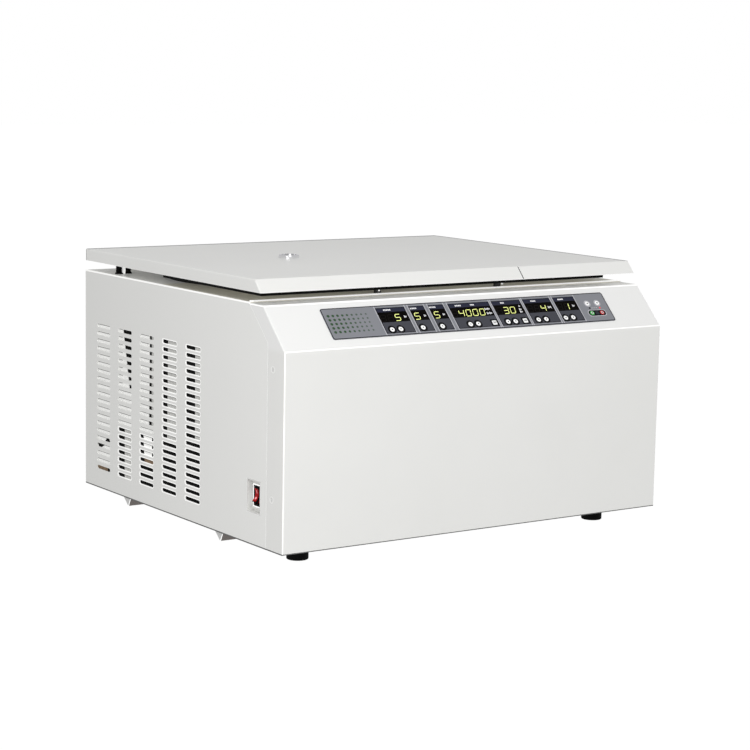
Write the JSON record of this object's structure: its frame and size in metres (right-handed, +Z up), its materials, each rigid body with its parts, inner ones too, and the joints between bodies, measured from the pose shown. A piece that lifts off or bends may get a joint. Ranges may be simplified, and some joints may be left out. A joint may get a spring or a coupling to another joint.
{
  "type": "microplate centrifuge",
  "caption": "Low refrigerated bench centrifuge with a flat lift-up lid, sloped keypad and a swing-out rotor for microplates.",
  "frame": {"origin": "on the bench, under the middle of the cabinet", "axes": "+X to the right seen from the front, +Y from front to rear, +Z up"},
  "size_m": [0.62, 0.54, 0.3694],
  "materials": {
    "cabinet_paint": "fine satin powder coat",
    "black_rubber": "matt",
    "dark_metal": "blackened steel",
    "zinc_steel": "zinc plated",
    "striker_steel": "black oxide",
    "stainless": "drawn stainless",
    "chrome": "bright plate",
    "window_glass": "clear",
    "foam": "closed-cell foam",
    "copper": "drawn copper tube",
    "motor_paint": "satin",
    "rotor_alloy": "anodised",
    "cooling_fins": "mill finish",
    "black_plastic": "fine grain",
    "board": "solder mask",
    "overlay": "printed film",
    "key_white": "gloss",
    "key_green": "gloss",
    "key_red": "gloss",
    "white_plastic": "moulded",
    "rocker_red": "translucent",
    "fascia_paint": "fine satin powder coat",
    "side_paint": "fine satin powder coat",
    "base_paint": "fine satin powder coat",
    "deck_paint": "fine satin powder coat",
    "lid_paint": "fine satin powder coat",
    "liner_paint": "fine satin powder coat",
    "hinge_paint": "fine satin powder coat"
  },
  "bodies": {
    "cabinet": {"front_fascia": "fascia_paint", "left_side_panel": "side_paint", "right_side_panel": "side_paint", "rear_panel": "cabinet_paint", "base_pan": "base_paint", "rubber_feet": "black_rubber", "panel_screws": "cabinet_paint", "deck_plate": "deck_paint", "chamber_gasket": "black_rubber", "deck_hinge_brackets": "hinge_paint", "hinge_pins": "zinc_steel", "latch_housings": "zinc_steel", "chamber_bowl": "stainless", "evaporator_coil": "copper", "chamber_insulation": "foam", "drive_motor": "motor_paint", "vibration_mounts": "black_rubber", "compressor": "motor_paint", "condenser": "cooling_fins", "fan_shroud": "black_plastic", "refrigerant_lines": "copper", "control_board": "board", "drive_unit": "cooling_fins", "keypad_overlay": "overlay", "switch_cup": "white_plastic", "power_switch_body": "black_plastic", "power_inlet": "black_plastic"},
    "lid": {"lid_shell": "lid_paint", "lid_liner": "liner_paint", "window_ring": "chrome", "window_glass": "window_glass", "lid_hinge_leaves": "hinge_paint", "lid_strikers": "striker_steel"},
    "rotor": {"rotor_spindle": "stainless", "rotor_yoke": "rotor_alloy", "rotor_nut": "stainless"},
    "bucket_left": {"bucket_left": "rotor_alloy"},
    "bucket_right": {"bucket_right": "rotor_alloy"},
    "latch_hook_left": {"latch_hook_left": "zinc_steel"},
    "latch_hook_right": {"latch_hook_right": "zinc_steel"},
    "condenser_fan": {"condenser_fan": "black_plastic"},
    "power_rocker": {"power_rocker": "rocker_red"},
    "accel_down_key": {"accel_down_key": "key_white"},
    "accel_up_key": {"accel_up_key": "key_white"},
    "brake_key": {"brake_key": "key_white"},
    "program_key": {"program_key": "key_white"},
    "speed_down_key": {"speed_down_key": "key_white"},
    "speed_up_key": {"speed_up_key": "key_white"},
    "time_down_key": {"time_down_key": "key_white"},
    "time_up_key": {"time_up_key": "key_white"},
    "temperature_down_key": {"temperature_down_key": "key_white"},
    "temperature_up_key": {"temperature_up_key": "key_white"},
    "rotor_down_key": {"rotor_down_key": "key_white"},
    "rotor_up_key": {"rotor_up_key": "key_white"},
    "lid_key": {"lid_key": "key_white"},
    "pulse_key": {"pulse_key": "key_white"},
    "start_key": {"start_key": "key_green"},
    "stop_key": {"stop_key": "key_red"},
    "speed_mode_key": {"speed_mode_key": "key_white"},
    "time_mode_key": {"time_mode_key": "key_white"}
  },
  "joints": [
    {"name": "lid_hinge", "type": "hinge", "parent": "cabinet", "child": "lid", "pos_m": [0, 0.262, 0.34175], "axis": [-1, 0, 0], "range_deg": [0, 75]},
    {"name": "rotor_spin", "type": "hinge", "parent": "cabinet", "child": "rotor", "pos_m": [-0.097, 0.065, 0.262], "axis": [0, 0, 1], "continuous": true},
    {"name": "bucket_left_swing", "type": "hinge", "parent": "rotor", "child": "bucket_left", "pos_m": [-0.165, 0.065, 0.285], "axis": [0, 1, 0], "range_deg": [0, 90]},
    {"name": "bucket_right_swing", "type": "hinge", "parent": "rotor", "child": "bucket_right", "pos_m": [-0.029, 0.065, 0.285], "axis": [0, -1, 0], "range_deg": [0, 90]},
    {"name": "latch_left_turn", "type": "hinge", "parent": "cabinet", "child": "latch_hook_left", "pos_m": [-0.1, -0.15, 0.272], "axis": [1, 0, 0], "range_deg": [0, 15], "stiffness_Nm_per_rad": 0.05, "springref_deg": -5.73},
    {"name": "latch_right_turn", "type": "hinge", "parent": "cabinet", "child": "latch_hook_right", "pos_m": [0.1, -0.15, 0.272], "axis": [1, 0, 0], "range_deg": [0, 15], "stiffness_Nm_per_rad": 0.05, "springref_deg": -5.73},
    {"name": "condenser_fan_spin", "type": "hinge", "parent": "cabinet", "child": "condenser_fan", "pos_m": [0.252, 0, 0.109], "axis": [1, 0, 0], "continuous": true},
    {"name": "power_rocker_tilt", "type": "hinge", "parent": "cabinet", "child": "power_rocker", "pos_m": [-0.297, -0.199, 0.0866], "axis": [0, -1, 0], "range_deg": [0, 20]},
    {"name": "accel_down_press", "type": "slide", "parent": "cabinet", "child": "accel_down_key", "axis": [0, 0.7124, -0.7018], "range_m": [0, 0.0005], "stiffness_N_per_m": 900, "springref_m": -0.0002},
    {"name": "accel_up_press", "type": "slide", "parent": "cabinet", "child": "accel_up_key", "axis": [0, 0.7124, -0.7018], "range_m": [0, 0.0005], "stiffness_N_per_m": 900, "springref_m": -0.0002},
    {"name": "brake_press", "type": "slide", "parent": "cabinet", "child": "brake_key", "axis": [0, 0.7124, -0.7018], "range_m": [0, 0.0005], "stiffness_N_per_m": 900, "springref_m": -0.0002},
    {"name": "program_press", "type": "slide", "parent": "cabinet", "child": "program_key", "axis": [0, 0.7124, -0.7018], "range_m": [0, 0.0005], "stiffness_N_per_m": 900, "springref_m": -0.0002},
    {"name": "speed_down_press", "type": "slide", "parent": "cabinet", "child": "speed_down_key", "axis": [0, 0.7124, -0.7018], "range_m": [0, 0.0005], "stiffness_N_per_m": 900, "springref_m": -0.0002},
    {"name": "speed_up_press", "type": "slide", "parent": "cabinet", "child": "speed_up_key", "axis": [0, 0.7124, -0.7018], "range_m": [0, 0.0005], "stiffness_N_per_m": 900, "springref_m": -0.0002},
    {"name": "time_down_press", "type": "slide", "parent": "cabinet", "child": "time_down_key", "axis": [0, 0.7124, -0.7018], "range_m": [0, 0.0005], "stiffness_N_per_m": 900, "springref_m": -0.0002},
    {"name": "time_up_press", "type": "slide", "parent": "cabinet", "child": "time_up_key", "axis": [0, 0.7124, -0.7018], "range_m": [0, 0.0005], "stiffness_N_per_m": 900, "springref_m": -0.0002},
    {"name": "temperature_down_press", "type": "slide", "parent": "cabinet", "child": "temperature_down_key", "axis": [0, 0.7124, -0.7018], "range_m": [0, 0.0005], "stiffness_N_per_m": 900, "springref_m": -0.0002},
    {"name": "temperature_up_press", "type": "slide", "parent": "cabinet", "child": "temperature_up_key", "axis": [0, 0.7124, -0.7018], "range_m": [0, 0.0005], "stiffness_N_per_m": 900, "springref_m": -0.0002},
    {"name": "rotor_down_press", "type": "slide", "parent": "cabinet", "child": "rotor_down_key", "axis": [0, 0.7124, -0.7018], "range_m": [0, 0.0005], "stiffness_N_per_m": 900, "springref_m": -0.0002},
    {"name": "rotor_up_press", "type": "slide", "parent": "cabinet", "child": "rotor_up_key", "axis": [0, 0.7124, -0.7018], "range_m": [0, 0.0005], "stiffness_N_per_m": 900, "springref_m": -0.0002},
    {"name": "lid_press", "type": "slide", "parent": "cabinet", "child": "lid_key", "axis": [0, 0.7124, -0.7018], "range_m": [0, 0.0005], "stiffness_N_per_m": 900, "springref_m": -0.0002},
    {"name": "pulse_press", "type": "slide", "parent": "cabinet", "child": "pulse_key", "axis": [0, 0.7124, -0.7018], "range_m": [0, 0.0005], "stiffness_N_per_m": 900, "springref_m": -0.0002},
    {"name": "start_press", "type": "slide", "parent": "cabinet", "child": "start_key", "axis": [0, 0.7124, -0.7018], "range_m": [0, 0.0005], "stiffness_N_per_m": 900, "springref_m": -0.0002},
    {"name": "stop_press", "type": "slide", "parent": "cabinet", "child": "stop_key", "axis": [0, 0.7124, -0.7018], "range_m": [0, 0.0005], "stiffness_N_per_m": 900, "springref_m": -0.0002},
    {"name": "speed_mode_press", "type": "slide", "parent": "cabinet", "child": "speed_mode_key", "axis": [0, 0.7124, -0.7018], "range_m": [0, 0.0005], "stiffness_N_per_m": 900, "springref_m": -0.0002},
    {"name": "time_mode_press", "type": "slide", "parent": "cabinet", "child": "time_mode_key", "axis": [0, 0.7124, -0.7018], "range_m": [0, 0.0005], "stiffness_N_per_m": 900, "springref_m": -0.0002}
  ]
}
